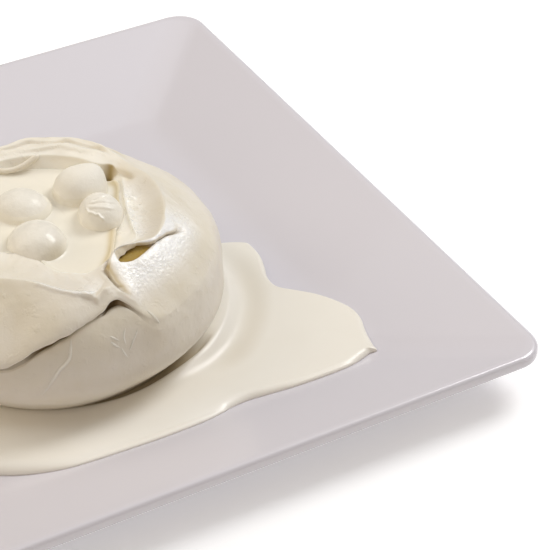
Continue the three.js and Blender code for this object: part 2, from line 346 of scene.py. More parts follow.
# Upper face: flat well, then a straight slope, joined by a parabola over the bend
def plateTop(half):
    p = plateSize
    slope = (p["height"] - p["wellTop"] - p["edgeDrop"]) / (p["half"] - p["edgeWidth"] - p["wellHalf"])
    rise = half - p["wellHalf"]
    soft = slope * np.clip(rise + p["bend"], 0, None) ** 2 / (4 * p["bend"])
    return p["wellTop"] + np.where(rise < p["bend"], soft, slope * rise)


# Half width of the rounded square through a point: the long side, or a corner arc's centre plus its radius
def squareThrough(x, y):
    big, small = np.maximum(abs(x), abs(y)), np.minimum(abs(x), abs(y))
    radius = plateSize["corner"]
    root = np.sqrt(np.clip(2 * radius ** 2 - (big - small) ** 2, 0, None))
    return np.where(big - small >= radius, big, (big + small - root) / 2 + radius)


# Rounded square path: a quarter is a corner arc and then a straight side, turned four times
def roundedSquare(half, radius, cornerSteps=16, sideSteps=24):
    turn = np.linspace(-np.pi / 2, 0, cornerSteps, endpoint=False)
    side = np.linspace(-1, 1, sideSteps, endpoint=False)
    r = np.minimum(radius, 0.98 * half)[:, None]
    flat = half[:, None] - r
    x = np.concatenate([flat + r * np.cos(turn), np.repeat(half[:, None], sideSteps, 1)], 1)
    y = np.concatenate([-flat + r * np.sin(turn), flat * side], 1)
    return np.concatenate([x, -y, -x, y], 1), np.concatenate([y, x, -y, -x], 1)


# Plate: a profile of half widths and heights carried round rounded squares, from under the middle to the well
def buildPlate(material):
    p = plateSize
    low, foot, top = p["height"] - p["rim"], p["footHalf"], p["topRound"]
    (footOut, footUp), (lowOut, lowUp) = p["footRound"], p["lowRound"]
    arc = np.linspace(0, np.pi / 2, 8)
    under = np.array([[0, 0], [40, 0], [foot - 1, 0], [foot, 0]])
    footArc = np.column_stack([foot + footOut * np.sin(arc), footUp * (1 - np.cos(arc))])[1:]
    underSlope = np.linspace(*p["underSlope"], 8)
    half, height = p["half"], p["height"]
    edgeLow = np.column_stack([half - lowOut + lowOut * np.sin(arc), low + lowUp - lowUp * np.cos(arc)])
    edgeTop = np.column_stack([half - top + top * np.cos(arc), height - top + top * np.sin(arc)])
    inward = np.linspace(half - p["edgeWidth"], foot, 60)
    face = np.column_stack([inward, plateTop(inward)])
    well = np.column_stack([np.linspace(foot - 4, 2, 10), np.full(10, p["wellTop"])])
    profile = np.vstack([under, footArc, underSlope, edgeLow, edgeTop, face, well, [[0, p["wellTop"]]]])
    x, y = roundedSquare(profile[:, 0], p["corner"])
    grid = np.stack([x, y, np.repeat(profile[:, 1:], x.shape[1], 1)], -1)
    place("glazedPlate", closedMesh("glazedPlate", grid), "plate", material)


cheese = {"centre": (-2, -17), "turn": -29.6, "foot": 42, "belly": 57.1, "bellyHeight": 20.8, "dome": 55.3,
          "power": 2.36, "creamLevel": 46, "floor": 25}
pouch = {
    "flapAt": 8, "tearAt": 20,  # first rings of the flap's fold and of the tear
    "soften": {"rim": 4, "flap": 3, "tear": 0.8, "creamy": 8},  # degrees over which a table is rounded
    "seen": (-140, -120, 70, 100),  # angles with close columns
    "busy": [(-55, 7, 3), (-38, 12, 1.5), (51, 6, 2)],  # places with closer ones: middle, width, how much
    "besideTear": (-60, -52, -4, 8),  # angles where whole skin keeps level with the tear
    "tearSteps": (3.5, 1.2, 0.15),  # degrees of whole skin below the tear's edge
    # unevenness of the skin, the flap's edge and the tear's edge: height, length, seed
    "swells": [(0.45, 34, 3), (0.18, 13, 5), (0.06, 5, 7), (0.03, 2.4, 9)],
    "flapWander": [(0.5, 9, 21), (0.25, 3.5, 22)], "tearWander": [(0.22, 6, 23), (0.14, 2.4, 24)],
    # the flatter right side: share, angles, heights
    "flat": 0.04, "flatAngles": (-88, -48, 6, 26), "flatHeights": (4, 10, 26, 44),
    # the smeared slope in front: angles, rings from the end, height, length and seed of its lumps
    "lumpAngles": (-140, -120, -64, -54), "lumpRings": (3, 4.5, 9, 11),
    "lumps": [(0.32, 8, 31), (0.16, 3.6, 32)],
    # rings of the fold: degrees above its foot, shares of the pocket, gap, thickness and groove, and degrees
    # above the foot on whole skin
    "fold": [
        (-3.5, 0, 0, 0, 0, -3.5), (-2.5, 0, 0, 0, 0.8, -2.7), (-1.5, 0, 0, 0, 1, -2.0),
        (0, 0.4, 0, 0, 1, -1.3), (0, 1, 0.3, 0, 0.5, -0.6), (0, 0.6, 1, 0, 0, 0.1),
        (0.2, 0, 1, 0, 0, 0.7), (-0.8, 0, 1, 0.12, 0, 1.3), (-0.95, 0, 1, 0.5, 0, 1.9),
        (-0.7, 0, 1, 0.85, 0, 2.5), (0.4, 0, 1, 1, 0, 3.2), (4.5, 0, 1, 1, 0, 4.5)],
    # angle round the cheese, radius and height of the ridge, the valley behind it and the lip,
    # radius of the cream, roundness of the ridge and of the lip
    "rim": [
        (-180, 38.5, 50.4, 37.0, 50.0, 35.6, 49.0, 34.8, 1.5, 1.2),
        (-142, 38.5, 50.2, 36.2, 49.6, 34.0, 48.8, 32.6, 1.2, 1.0),
        (-124, 38.0, 50.2, 31.0, 48.3, 23.6, 48.8, 21.8, 0.8, 0.5),
        (-111, 37.2, 50.7, 28.6, 48.0, 20.6, 48.9, 18.8, 0.5, 0.4),
        (-104, 36.9, 50.9, 28.4, 48.0, 20.5, 48.7, 18.7, 0.4, 0.4),
        (-97, 36.8, 51.0, 29.0, 48.0, 21.6, 48.4, 19.7, 0.35, 0.4),
        (-90, 38.0, 50.6, 30.6, 48.0, 24.0, 48.1, 22.0, 0.3, 0.5),
        (-84, 39.8, 50.0, 32.8, 48.0, 27.0, 47.8, 24.6, 0.3, 0.7),
        (-80, 41.3, 49.7, 34.4, 47.9, 28.8, 47.7, 26.0, 0.3, 0.8),
        (-75, 42.9, 49.2, 36.2, 47.9, 30.4, 47.6, 27.6, 0.3, 1.0),
        (-70, 43.6, 48.4, 37.8, 47.9, 32.0, 47.6, 29.0, 0.4, 1.2),
        (-65, 42.6, 48.2, 38.6, 48.0, 33.0, 47.8, 30.2, 0.8, 1.2),
        (-60, 40.0, 48.8, 37.0, 48.9, 33.4, 48.4, 30.8, 1.0, 1.2),
        (-55, 37.0, 49.9, 35.0, 49.9, 32.8, 49.2, 30.6, 1.0, 1.0),
        (-51.5, 34.2, 50.8, 33.2, 50.7, 31.8, 49.9, 30.0, 0.8, 0.8),
        (-48.5, 32.6, 51.4, 31.8, 51.2, 30.8, 50.3, 29.2, 0.6, 0.8),
        (-45, 31.8, 51.7, 31.0, 51.4, 29.9, 50.5, 28.2, 0.5, 0.8),
        (-40, 32.2, 51.8, 31.3, 51.5, 29.9, 50.6, 26.6, 0.5, 0.8),
        (-36, 33.2, 51.7, 32.2, 51.4, 31.0, 50.8, 25.3, 0.5, 0.6),
        (-31, 34.8, 51.5, 34.2, 51.1, 33.2, 51.0, 23.9, 0.5, 0.4),
        (-28, 36.6, 51.3, 34.6, 50.5, 32.4, 50.7, 23.2, 0.6, 0.3),
        (-24, 37.6, 51.0, 33.4, 49.5, 30.9, 50.5, 22.4, 0.8, 0.25),
        (-19, 37.6, 51.1, 32.0, 48.4, 29.0, 49.3, 21.7, 0.9, 0.25),
        (-13, 37.3, 51.2, 30.8, 47.7, 27.5, 48.4, 21.2, 0.9, 0.25),
        (-4, 36.7, 51.2, 29.6, 47.2, 26.0, 47.8, 20.8, 0.9, 0.25),
        (8, 36.4, 51.1, 28.8, 47.0, 24.9, 47.5, 21.4, 1.0, 0.25),
        (22, 36.4, 51.0, 29.2, 47.2, 25.4, 47.5, 22.6, 1.2, 0.25),
        (32, 36.2, 50.8, 30.4, 47.8, 27.0, 47.8, 24.4, 1.4, 0.3),
        (39, 35.6, 50.7, 32.0, 49.1, 28.8, 47.9, 26.6, 1.4, 0.4),
        (44, 34.8, 50.6, 32.4, 49.7, 30.3, 48.3, 28.0, 1.2, 0.5),
        (50, 35.2, 50.6, 33.2, 50.0, 31.0, 48.8, 28.6, 0.8, 0.5),
        (53.2, 36.0, 50.6, 33.8, 50.2, 32.0, 49.2, 31.2, 0.8, 0.5),
        (55.5, 36.2, 50.9, 33.8, 50.6, 32.2, 49.6, 31.4, 0.8, 0.5),
        (58.6, 36.2, 51.6, 33.2, 51.3, 29.7, 50.4, 27.5, 1.0, 0.6),
        (66, 36.6, 52.2, 33.2, 51.8, 29.0, 50.6, 26.6, 1.2, 0.7),
        (76, 37.0, 52.5, 33.2, 52.0, 29.6, 50.8, 27.0, 1.2, 0.7),
        (89, 37.0, 52.6, 33.0, 52.1, 30.0, 50.8, 27.4, 1.2, 0.7),
        (107, 37.5, 52.6, 34.0, 52.1, 31.0, 50.8, 28.4, 1.2, 0.7),
        (124, 38.0, 52.1, 35.0, 51.5, 32.4, 50.6, 30.2, 1.4, 0.9),
        (148, 38.2, 51.0, 36.2, 50.6, 34.0, 49.6, 34.0, 1.6, 1.4)],
    # the flap folded over the front: angle, height angle of its edge, share, gap, pocket in degrees,
    # thickness, depth of the groove pressed into the skin under it
    "flap": [
        (-165, 40, 0, 0.2, 1.0, 1.5, 0), (-153, 36, 0.1, 0.2, 1.0, 2.0, 0),
        (-125, 19, 0.8, 0.3, 1.2, 2.6, 0.1), (-113, 12.8, 1, 0.5, 1.5, 2.8, 0.3),
        (-101, 14.6, 1, 0.4, 1.5, 2.8, 0.4), (-94, 19.6, 1, 0.4, 1.5, 2.7, 0.3),
        (-90, 24.1, 1, 0.8, 2.2, 2.5, 0.9), (-81, 31.2, 1, 1.0, 2.6, 2.2, 1.1),
        (-77.5, 33.1, 1, 0.9, 2.2, 2.0, 0.9), (-75, 34.2, 1, 0.6, 1.8, 2.0, 0.3),
        (-69, 36.6, 1, 0.15, 1.0, 1.6, 0.1), (-66.3, 37.6, 1, 0.3, 1.5, 1.5, 0.5),
        (-64, 39.2, 1, 0.7, 2.6, 1.5, 1.3), (-62, 40.6, 1, 1.0, 3.4, 1.5, 2.0),
        (-60, 41.2, 1, 1.0, 3.4, 1.4, 2.1), (-58.2, 40.9, 0.95, 0.8, 2.6, 1.4, 1.6),
        (-56.8, 39.4, 0.8, 0.6, 2.2, 1.4, 1.0), (-55.3, 37.0, 0.6, 0.2, 1.5, 1.4, 0.5),
        (-53.7, 33.4, 0.4, 0.1, 1.0, 1.3, 0.3), (-51.5, 28.1, 0.26, 0, 0.6, 1.2, 0.1),
        (-49, 23.0, 0.16, 0, 0.5, 1.2, 0), (-44, 20, 0.06, 0, 0.5, 1.1, 0), (-38, 20, 0, 0, 0.5, 1.0, 0),
        (170, 30, 0, 0, 0.5, 1.0, 0)],
    # the tear under the right petal: angle, share, height angle where whole skin ends, radius and height of
    # the torn face's foot and of its top, depth of the gap under it
    "tear": [
        (-170, 0, 50, 38.5, 49.2, 38.0, 49.6, 0.5), (-58, 0, 49, 37.0, 49.4, 36.4, 49.9, 0.4),
        (-52, 0, 53.0, 36.0, 49.6, 34.6, 50.6, 0.4), (-47.4, 0, 54.6, 35.6, 49.4, 32.8, 51.4, 0.6),
        (-46.3, 1, 54.8, 34.8, 49.5, 32.4, 51.5, 1.6), (-44.6, 1, 54.0, 34.0, 49.6, 32.0, 51.6, 3.2),
        (-41.3, 1, 52.9, 34.4, 49.6, 32.3, 51.7, 4.5), (-38.5, 1, 52.5, 34.0, 49.6, 32.9, 51.7, 4.5),
        (-35.7, 1, 52.4, 33.8, 49.7, 33.6, 51.6, 4.0), (-32.7, 1, 52.3, 33.9, 49.9, 34.4, 51.3, 3.2),
        (-29.8, 1, 52.2, 35.3, 49.8, 35.9, 50.9, 2.4), (-26.4, 1, 52.2, 37.3, 49.6, 37.8, 50.7, 1.2),
        (-23.5, 1, 52.1, 37.8, 49.5, 38.3, 50.5, 0.5), (-20.5, 1, 51.4, 38.2, 49.2, 38.7, 50.1, 0.5),
        (-17.5, 0.9, 50.4, 38.6, 48.9, 39.1, 49.7, 0.9), (-14, 0.85, 48.3, 40.1, 48.2, 40.5, 48.9, 1.0),
        (-11, 0.7, 46.1, 41.7, 47.3, 42.0, 47.8, 0.9), (-8, 0.4, 44, 43.1, 46.3, 43.3, 46.7, 0.6),
        (-5.5, 0, 43, 44, 45.6, 44.2, 46, 0.5), (20, 0, 45, 42.5, 46.6, 42.6, 46.9, 0.5)],
    # cream smeared over the inner side: angle, share on the slope, share on the ridge
    "creamy": [
        (-180, 0.4, 0.2), (-140, 0.5, 0.3), (-122, 0.45, 0.35), (-70, 0.45, 0.35), (-60, 0.5, 0.3),
        (-50, 0.9, 0.2), (-36, 1, 0), (-10, 1, 0), (40, 1, 0), (60, 0.9, 0.5), (130, 0.9, 0.5)],
    # creases: path of angle, radius and height, height (below 0 a groove), width, whether heights count
    "creases": {
        "slit": ([(-43.4, 28.6, 48.6), (-49, 31.2, 49.6), (-53.7, 33.4, 50.2), (-57.2, 35.5, 50.3),
                  (-57.2, 38.6, 49.8), (-57.0, 40.7, 49.2), (-56.5, 42.3, 48.4), (-55.7, 43.6, 47.4),
                  (-52.9, 44.6, 45.6)], -1.3, 0.45, 0.3),
        "slitEdge": ([(-59, 35.4, 50), (-59, 38.6, 49), (-58.9, 41, 48), (-58.4, 42.8, 47),
                      (-57.2, 44.4, 46), (-54.6, 45.6, 45)], 0.4, 0.8, 0.3),
        "backGroove": ([(54, 31, 50), (50, 31, 50), (45, 31.3, 50), (40, 31.8, 50),
                        (36, 32.6, 50)], -1.0, 0.9, 0),
        "foldOne": ([(124, 36.6, 52), (112, 35.6, 52), (104, 36.4, 52), (94, 35.2, 52), (84, 36.2, 52),
                     (74, 35.0, 52), (66, 35.6, 52), (58, 34.6, 52)], -1.0, 0.5, 0),
        "foldTwo": ([(114, 34.0, 52), (100, 33.0, 52), (88, 34.0, 52), (76, 32.8, 52),
                     (68, 33.4, 52)], 0.7, 0.6, 0),
        "foldThree": ([(116, 38.6, 52), (104, 37.8, 52), (96, 38.4, 52), (86, 37.4, 52), (76, 38.2, 52),
                       (68, 37.0, 52), (58, 36.6, 51.5)], 0.9, 0.55, 0),
        "foldFour": ([(82, 40.4, 51), (74, 39.6, 51), (66, 39.8, 51), (58, 38.6, 51),
                      (50, 38.6, 50)], 0.6, 0.5, 0),
        "frontCrest": ([(-94, 37.4, 51), (-88, 38.6, 50.4), (-84.2, 39.8, 50), (-80.2, 41.3, 49.7),
                        (-74.8, 43.0, 49.2), (-69.5, 43.8, 48.3), (-66, 43.6, 48)], 0.45, 0.5, 0),
        "petalCrest": ([(-26, 31.8, 50), (-18.2, 28.8, 50), (-12.3, 27.3, 49), (-6.7, 26.4, 49),
                        (3, 25.2, 48), (15, 25.1, 48), (24.3, 25.8, 48), (33.9, 27.4, 48)], 0.6, 0.6, 0),
        "blobOne": ([(25, 27.0, 48), (21.5, 27.5, 48), (17.5, 27.6, 48)], 1.3, 1.2, 0),
        "blobTwo": ([(13.5, 27.8, 48), (10.5, 28.1, 48), (6.5, 27.9, 48)], 1.2, 1.2, 0),
        "blobThree": ([(2, 28.4, 48), (-1, 28.0, 48), (-4.5, 28.2, 48)], 0.8, 1.0, 0),
        "archEdge": ([(-59, 44.2, 45.6), (-57, 45.2, 44.8), (-54.7, 46.2, 44.1), (-52.8, 47.2, 43.4),
                      (-50.6, 48.4, 42.3)], 0.6, 0.8, 0.3),
        "knotLeft": ([(-73, 43.4, 48.6), (-70, 43.8, 48), (-67.5, 44.6, 47.6),
                      (-65.4, 46.4, 46)], 0.8, 0.6, 0),
        "knotRight": ([(-67.5, 46.4, 46), (-65.5, 44.6, 47), (-63, 43.6, 47),
                       (-60, 43.8, 47)], 0.8, 0.7, 0),
        "knotPit": ([(-69, 42.6, 48), (-67, 42.2, 48), (-65.4, 42, 48), (-64, 41.6, 48)], -0.6, 0.5, 0)}}


# Cheese coordinates to plate coordinates: turned, then shifted to the cheese's middle
def toPlate(points):
    return turned(points, cheese["turn"], (*cheese["centre"], 0))


# The whole dome at a height angle: a superellipse, moved out along its normal by the lift
def dome(angle, lift=0.0):
    c, s = np.cos(np.radians(angle)), np.sin(np.radians(np.maximum(angle, 0)))
    rise, power = cheese["dome"] - cheese["bellyHeight"], cheese["power"]
    r, h = cheese["belly"] * c ** (2 / power), rise * s ** (2 / power)
    nr = (r / cheese["belly"]) ** (power - 1) / cheese["belly"]
    nz = (h / rise) ** (power - 1) / rise
    length = np.hypot(nr, nz)
    return np.stack([r + lift * nr / length, cheese["bellyHeight"] + h + lift * nz / length], -1)


# Values round the cheese: straight lines between knots, rounded off by a sliding mean some degrees wide
def roundRim(angle, knots, soften):
    table = np.array(knots, float)
    scale = np.arange(-540, 540, 0.25)
    at = np.concatenate([table[:, 0] - 360, table[:, 0], table[:, 0] + 360])
    kernel = np.hanning(int(soften * 8) + 3)
    lines = [np.convolve(np.interp(scale, at, np.tile(column, 3)), kernel / kernel.sum(), "same")
             for column in table[:, 1:].T]
    return [np.interp(angle, scale, line) for line in lines]


# The pouch's values round the cheese, from one of its tables
def skinValues(angle, table):
    return roundRim(angle, pouch[table], pouch["soften"][table])


# Rings between two sets, by a share at each angle
def mixed(first, second, share):
    return [a * (1 - share[:, None]) + b * share[:, None] for a, b in zip(first, second)]


# Rings over the fold of the flap: under its edge, round it and on, or evenly over whole skin where share is 0
def foldRings(foot, share, gap, pocket, edge, groove):
    whole, folded = [], []
    for up, inPocket, inGap, inEdge, inGroove, upWhole in pouch["fold"]:
        whole.append(dome(foot + upWhole))
        folded.append(dome(foot + up + inPocket * pocket, inGap * gap + inEdge * edge - inGroove * groove))
    return mixed(whole, folded, share)


# Rings over the tear: whole skin to its edge, the gap behind it, up the torn face to the ridge
def tornRings(floor, share, low, top, depth, ridge, whole):
    edge, face = dome(floor), top - low
    inward = np.stack([-depth, 0 * depth], -1)
    torn = [dome(floor - step) for step in pouch["tearSteps"]]
    torn += [edge - (0.15, 0.5), edge - (0, 0.9) + 0.5 * inward, 0.5 * (edge + low) + inward,
             low + 0.55 * inward, low - (0.35, 0), low + 0.1 * face, top - 0.1 * face, top + (-0.25, 0.05),
             top + 0.5 * (ridge - top)]
    return mixed(whole, torn, share)


# Guide rings of the pouch's section at each angle, with the closeness of rows wanted at each ring
def pouchRings(angle):
    ridgeR, ridgeZ, valleyR, valleyZ, lipR, lipZ, creamR, ridgeSoft, lipSoft = skinValues(angle, "rim")
    flapFoot, flap, flapGap, flapPocket, flapEdge, flapGroove = skinValues(angle, "flap")
    tear, floorEnd, lowR, lowZ, topR, topZ, tearDepth = skinValues(angle, "tear")
    wander = np.stack([angle, 0 * angle, 0 * angle], -1)
    flapFoot = flapFoot + flap * swells(wander, pouch["flapWander"])
    ragged = tear * swells(wander, pouch["tearWander"])
    lowR, topR = lowR + 1.4 * ragged, topR + ragged
    lowZ = lowZ + 0.8 * tear * 0.22 * rolling(wander, 4, 25)

    def ring(r, z):
        return np.stack(np.broadcast_arrays(r + 0 * angle, z + 0 * angle), -1)

    ridge, valley, lip = ring(ridgeR, ridgeZ), ring(valleyR, valleyZ), ring(lipR, lipZ)
    flapRings = foldRings(flapFoot, flap, flapGap, flapPocket, flapEdge, flapGroove)
    onFlap, skinFoot = flapRings[-1], flapFoot + pouch["fold"][-1][0]
    ridgeAngle = np.degrees(np.arccos(np.clip(ridgeR / cheese["belly"], 0, 1) ** (cheese["power"] / 2)))
    span = ridgeAngle - skinFoot

    def upTheSkin(share):  # straight up the flap, or over the dome to the ridge
        straight = onFlap + share * (ridge - onFlap)
        domed = dome(skinFoot + share[:, 0] * span) + share ** 3 * (ridge - dome(ridgeAngle))
        return domed + flap[:, None] * (straight - domed)

    # shares of the way up: evenly spread, or matched to the torn rings beside the tear
    start = np.clip((floorEnd - flapFoot - 8) / span, 0.12, 0.6)[:, None]
    evenly = start + np.linspace(0, 1, 12) * (0.84 - start)
    below = (floorEnd - skinFoot)[:, None] - pouch["tearSteps"]
    edge = np.clip(below / span[:, None], 0.12, (0.84, 0.88, 0.9))
    matched = np.concatenate([edge, edge[:, 2:] + np.linspace(0, 1, 10)[1:] * (0.96 - edge[:, 2:])], 1)
    beside = window(angle, *pouch["besideTear"])[:, None]
    whole = [upTheSkin(share[:, None]) for share in (evenly + beside * (matched - evenly)).T]
    tearRings = tornRings(floorEnd, tear, ring(lowR, lowZ), ring(topR, topZ), tearDepth, ridge, whole)

    def towards(point, other, soft):  # a little way from a point towards another
        way = other - point
        return point + way * np.minimum(0.4, soft / np.maximum(np.linalg.norm(way, axis=-1), 1e-6))[:, None]

    foot, base = plateSize["wellTop"] + 0.05, cheese["foot"]
    level, floor = cheese["creamLevel"], cheese["floor"]
    belly, bellyHeight = cheese["belly"], cheese["bellyHeight"]
    onTear, slope = tearRings[-1], ring(creamR + 0.45 * (lipR - creamR), level + 0.4 * (lipZ - level))
    rings = [(0.2, ring(0, foot)), (0.2, ring(base * 0.6, foot)), (0.6, ring(base, foot)),
             (1, ring(base + 2.2, foot + 1.6)), (2, ring(belly - 5.9, bellyHeight - 7.6)),
             (2, ring(belly + 1.3, bellyHeight - 0.4)), (2, dome(flapFoot * 0.45)),
             (2, dome(flapFoot * 0.75))]
    rings += [(1, r) for r in flapRings] + [(0.9, r) for r in tearRings]
    rings += [(1.2, onTear + 0.55 * (ridge - onTear)), (1, towards(ridge, onTear, ridgeSoft)), (1, ridge),
              (1, towards(ridge, valley, ridgeSoft)), (1.3, valley), (1, towards(lip, valley, lipSoft)),
              (1, lip), (1, towards(lip, slope, lipSoft)), (0.9, lip + 0.5 * (slope - lip)), (0.8, slope),
              (0.5, ring(creamR, level + 0.2)), (0.3, ring(creamR - 0.8, level - 6)),
              (0.2, ring(creamR - 5, floor + 3)), (0.2, ring(creamR * 0.5, floor)), (0.2, ring(0, floor))]
    return np.array([w for w, r in rings]), np.stack([r for w, r in rings])


# Angles round the cheese, packed closely where the skin is torn and seen
def anglesRound(count):
    scale = np.linspace(-180, 180, 721)[:-1] + 0.25
    density = 1 + 1.5 * window(scale, *pouch["seen"])
    for middle, width, closer in pouch["busy"]:
        density = density + closer * bell(scale, middle, width)
    return packed(count, density, True) * 360 - 180


# Rounded groove or crest along a path, from each point's distance to it, eased out at the path's ends
def ridgeAlong(points, path, height, width):
    near, along = np.full(points.shape[:2], 1e9), np.zeros(points.shape[:2])
    for i, (a, b) in enumerate(zip(path[:-1], path[1:])):
        share = np.clip((points - a) @ (b - a) / ((b - a) @ (b - a)), 0, 1)
        away = np.linalg.norm(points - a - share[..., None] * (b - a), axis=-1)
        along = np.where(away < near, i + share, along)
        near = np.minimum(near, away)
    last = len(path) - 1
    return height * smooth(along, 0, 1) * (1 - smooth(along, last - 1, last)) * np.exp(-(near / width) ** 2)


# The same for a path of angle, radius and height, seen from above where upright is 0
def crease(points, path, height, width, upright):
    turn, radius, z = np.array(path, float).T
    return ridgeAlong(points * (1, 1, upright), polar(radius, turn, z) * (1, 1, upright), height, width)


# Pouch surface at angles and places along the section: spline through the rings, then relief on its normals
def pouchSurface(angle, rings, t):
    radius, height = np.moveaxis(np.einsum("tk,kac->tac", splineWeights(len(rings), t), rings), -1, 0)
    whole = polar(radius, angle, height)
    flat = pouch["flat"] * window(angle, *pouch["flatAngles"]) * window(height, *pouch["flatHeights"])
    grid = polar(radius * (1 - flat), angle, height)
    fromEnd = (1 - t[:, None]) * (len(rings) - 3)
    smeared = window(fromEnd, *pouch["lumpRings"]) * window(angle, *pouch["lumpAngles"])
    relief = swells(whole, pouch["swells"]) + smeared * swells(whole, pouch["lumps"])
    for path, size, width, upright in pouch["creases"].values():
        relief = relief + crease(whole, path, size, width, upright)
    shown = window(t, 0.05, 0.12, 0.92, 0.95)[:, None]
    return grid + gridNormals(grid) * (relief * shown)[..., None]


skinMarks = {
    # angles between which a mark rises and falls: painted shadow at the pool, painted shade on the front and
    # the facet, a painted highlight on the shoulder and the petal's crest
    "contact": (-98, -70, -28, -10), "satinAndHighlight": (-54, -49, -10, 14), "crest": (-30, -18, 26, 40),
    "petal": (-32, -20, 26, 40), "darkFront": (-112, -92, -54, -42),
    # middle and width of a spot, in degrees: painted shade in the hole, painted glints at the knot, cream
    # that lightens the petal's slope
    "hole": (54.6, 3.0), "knot": (-66, 4), "patch": (15, 15)}


# Marks on the skin: amber in torn places with painted shade in the hole, on the torn face and deep in the
# gap, painted shade and shadow in folds, the slit, on the facet and at the pool, wetness, smeared cream, and
# gloss with a painted highlight
def pouchMarks(angle, at, grid, count):
    flapAt, tearAt = pouch["flapAt"], pouch["tearAt"]
    ridgeAt, valleyAt, lipAt = count - 13, count - 11, count - 9
    tear, flapGroove = skinValues(angle, "tear"), skinValues(angle, "flap")[-1]
    tearShare, tearDepth = tear[0], tear[-1]
    paths = {name: values[0] for name, values in pouch["creases"].items()}
    cutFace = [(turn + 2.4, r + 0.2, z) for turn, r, z in paths["slit"][2:]]  # the slit's right side
    z = grid[..., 2]
    steep = np.degrees(np.arctan2(z - cheese["bellyHeight"], np.hypot(grid[..., 0], grid[..., 1]) * 0.6))
    onTop = smooth(at, flapAt + 6, flapAt + 8)

    def within(name):
        return window(angle, *skinMarks[name])

    # brownish-yellow inside the tear, stronger where its gap is deeper as painted shade; painted shade in the
    # hole and on the torn face, which faces away from the lamps; the cut face's own colour; darker along the
    # back groove
    inTear = window(at, tearAt + 1.7, tearAt + 2.5, tearAt + 6.2, tearAt + 7.0)
    face = tearShare * window(at, tearAt + 6, tearAt + 7, tearAt + 9.2, tearAt + 10.4)
    hole = bell(angle, *skinMarks["hole"]) * smooth(at, lipAt - 1.2, lipAt - 0.2)
    torn = inTear * tearShare * np.minimum(1, tearDepth / 2) + 0.9 * hole + 0.22 * face
    torn = torn + onTop * crease(grid, cutFace, 0.85, 1.4, 0.3)
    torn = torn + smooth(at, tearAt + 10, tearAt + 12) * crease(grid, paths["backGroove"], 0.3, 1.2, 0)

    # painted shade and shadow: a dark line under the flap's edge, the contact shadow at the pool, darker over
    # the front flap, slope and upper belly, the slit's dark line and the petal's facet that faces away from
    # the lamps
    inFold = window(at, flapAt + 0.6, flapAt + 1.3, flapAt + 5.6, flapAt + 6.8)
    contact = within("contact") * (1 - smooth(z, 8.2, 11.5)) * (at < flapAt)  # painted contact shadow where the pool meets it
    darkFront = within("darkFront") * smooth(z, 26, 33) * (1 - smooth(at, valleyAt, valleyAt + 3))
    shade = inFold * np.minimum(1, flapGroove) + 0.48 * contact + 0.07 * darkFront
    shade = shade + onTop * crease(grid, paths["slit"], 0.6, 0.55, 0.3)
    shade = shade + 0.11 * within("petal") * bell(at, valleyAt - 0.6, 0.9)

    outer = 1 - smooth(at, tearAt + 13, tearAt + 14)
    # painted highlight: where the lamps' gloss falls on the right shoulder the colour is whitened, besides
    # being made glossier
    satinAndHighlight = within("satinAndHighlight") * smooth(steep, 34, 46) * outer * (1 - face)
    crest = within("crest") * bell(at, lipAt - 0.6, 1.4)  # wet edge of the right petal, with a painted highlight
    knot = bell(angle, *skinMarks["knot"]) * bell(at, ridgeAt, 2.4)  # wet folds where the flap is pinched, with painted glints
    # painted highlight along the front crest
    front = crease(grid, paths["frontCrest"], 1.0, 0.9, 0) * smooth(at, tearAt + 6, tearAt + 9)

    onSlope, onRidge = skinValues(angle, "creamy")
    smear = onRidge * smooth(at, ridgeAt - 2, ridgeAt - 0.5)
    smear = smear + (onSlope - onRidge) * smooth(at, valleyAt, lipAt - 0.6)
    patch = bell(angle, *skinMarks["patch"]) * bell(at, lipAt - 1.2, 0.9)  # cream left by the wet lumps, also lightening a slope the lamps leave dim: partly painted light
    atCream = 0.85 * smooth(at, lipAt - 0.5, lipAt + 2.5)
    creamy = np.clip(smear + 0.25 * smear * rolling(grid, 7, 62), 0, 1)
    return {"torn": np.clip(torn, 0, 1), "shade": np.clip(shade, 0, 1),
            "wet": smooth(at, tearAt + 10, tearAt + 13) + 0 * angle,
            "creamy": np.maximum(creamy, np.maximum(patch, atCream)),
            "satinAndHighlight": np.clip(satinAndHighlight + crest + 0.9 * knot + front, 0, 1)}


# Pouch: its surface and marks; returns the angles and the rows between its foot and the tear
def buildPouch(material, columns=540, rows=178):
    angle = anglesRound(columns)
    closeness, rings = pouchRings(angle)
    spans = np.convolve(closeness, np.ones(4) / 4, "valid")
    t = packed(rows, np.repeat(spans, 20), False)
    grid = pouchSurface(angle, rings, t)
    at = t[:, None] * (len(rings) - 3) + 1  # place counted in rings
    mesh = closedMesh("pouchSkin", toPlate(grid), pouchMarks(angle, at, grid, len(rings)))
    place("pouchSkin", mesh, "pouch", material)
    return angle, grid[8:int(np.searchsorted(at[:, 0], pouch["tearAt"] + 0.5))]


skinLines = {  # fine raised lines on the skin: path of angle and height, radius
    "seam": ([(-78.2, 39.4), (-78.5, 38.2), (-78.8, 36.6), (-79.5, 34.1), (-81, 32.5), (-82.7, 31.2),
              (-84.7, 28.5), (-87.6, 24.4), (-90.5, 21.2)], 0.6),
    "scratchOne": ([(-65.4, 37.5), (-64.4, 36.8), (-63.4, 36.1), (-62, 35)], 0.4),
    "scratchTwo": ([(-65.6, 36), (-64.8, 35.2), (-63.7, 34.1), (-62.2, 33)], 0.4),
    "scratchThree": ([(-59.6, 30.6), (-58, 32.7), (-56.7, 34.4), (-54.6, 37)], 0.4),
    "scratchFour": ([(-62, 33.2), (-61.3, 31), (-60, 28.6)], 0.35),
    "scratchFive": ([(-49.8, 40.6), (-48.4, 38.6), (-46.6, 35.4)], 0.5),
    "scratchSix": ([(-59, 38.2), (-60.4, 35.7), (-60.1, 33)], 0.35)}


